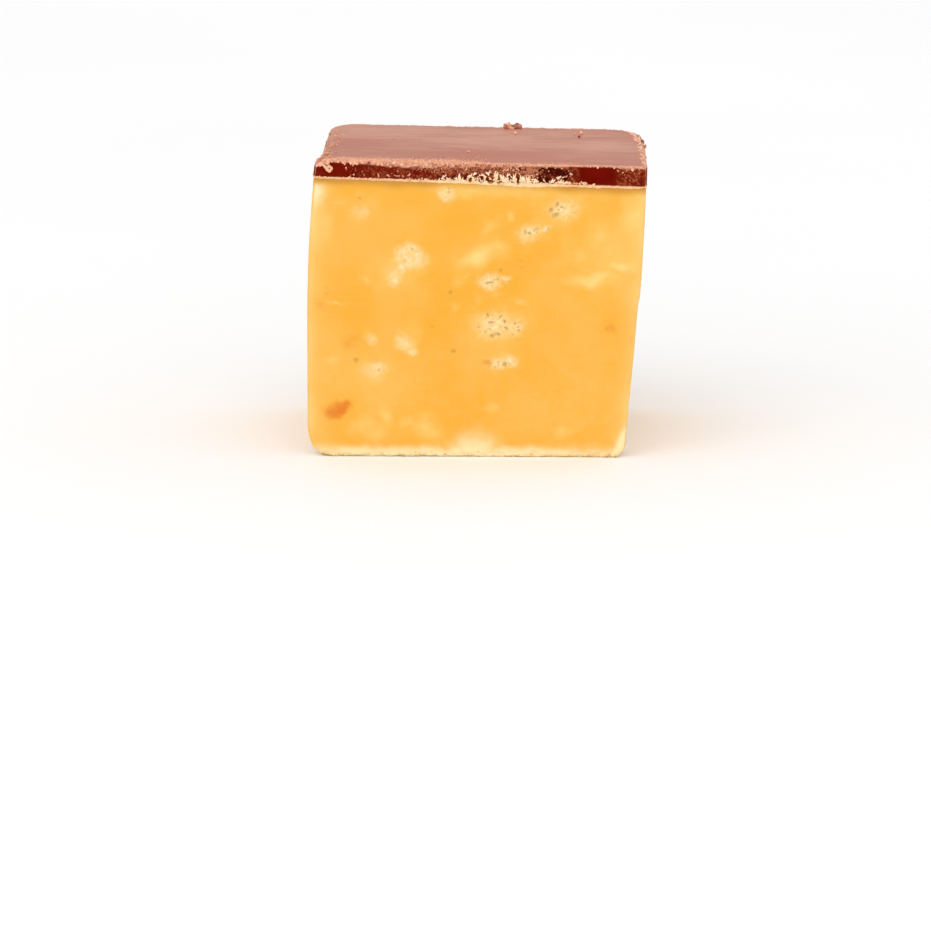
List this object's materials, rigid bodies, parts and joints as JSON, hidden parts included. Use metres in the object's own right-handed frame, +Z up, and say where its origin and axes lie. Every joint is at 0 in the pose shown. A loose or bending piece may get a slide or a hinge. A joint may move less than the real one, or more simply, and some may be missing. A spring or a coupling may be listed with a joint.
{
  "type": "fudge cube",
  "caption": "Cube of butter fudge with a thin chocolate layer on top, knife-cut sides and small crumbs.",
  "frame": {"origin": "centre of the footprint box, on the surface that the cube stands on", "axes": "+Z up through the chocolate, -Y out of the front face, +X to the right along the long side"},
  "size_m": [0.037, 0.0278, 0.0327],
  "materials": {
    "fudge": "dense butter fudge, satin where the knife passed, with paler porous patches",
    "chocolate": "set chocolate, satin on top and crumbly where it was cut"
  },
  "bodies": {
    "root": {"fudge_body": "fudge", "chocolate_layer": "chocolate"}
  },
  "joints": []
}
